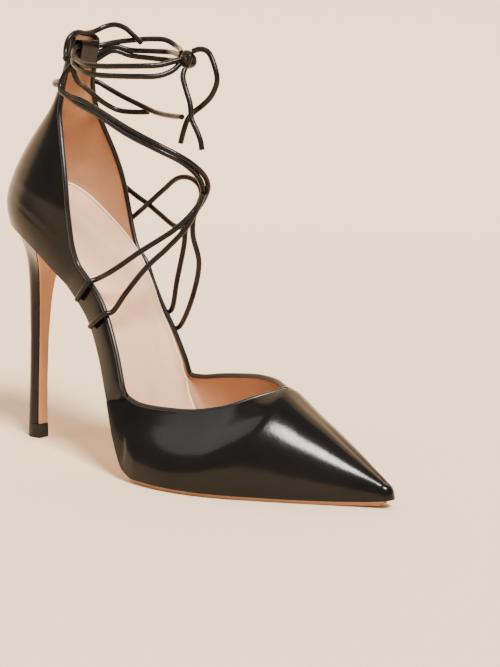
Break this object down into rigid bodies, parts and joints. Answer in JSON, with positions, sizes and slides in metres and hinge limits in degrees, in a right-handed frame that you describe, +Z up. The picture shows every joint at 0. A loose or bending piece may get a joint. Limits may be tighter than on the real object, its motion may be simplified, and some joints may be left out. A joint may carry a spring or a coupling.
{
  "type": "lace up high heel shoe",
  "caption": "Right lace up stiletto pump: pointed vamp, open waist with slim side bands, high counter with back tab, covered heel, round leather lace tied at the ankle.",
  "frame": {"origin": "on the floor, under the middle of the shoe's bounding box", "axes": "+X from the heel to the toe, +Y to the shoe's inner side, +Z up"},
  "size_m": [0.2233, 0.0762, 0.2072],
  "materials": {
    "black_leather": "smooth glossy black leather",
    "tan_leather": "smooth tan sole leather, stained edge",
    "nude_insole": "soft nude insole leather over foam",
    "lift_rubber": "matt black top lift",
    "lace_leather": "round black leather lace, softly shiny"
  },
  "bodies": {
    "root": {"upper": "black_leather", "insole": "nude_insole", "outsole": "tan_leather", "heel": "black_leather", "heel_breast": "tan_leather", "top_lift": "lift_rubber", "keeper": "black_leather", "lace_net": "lace_leather", "knot": "lace_leather", "bow_loop": "lace_leather", "bow_strand": "lace_leather", "top_loop": "lace_leather"}
  },
  "joints": []
}
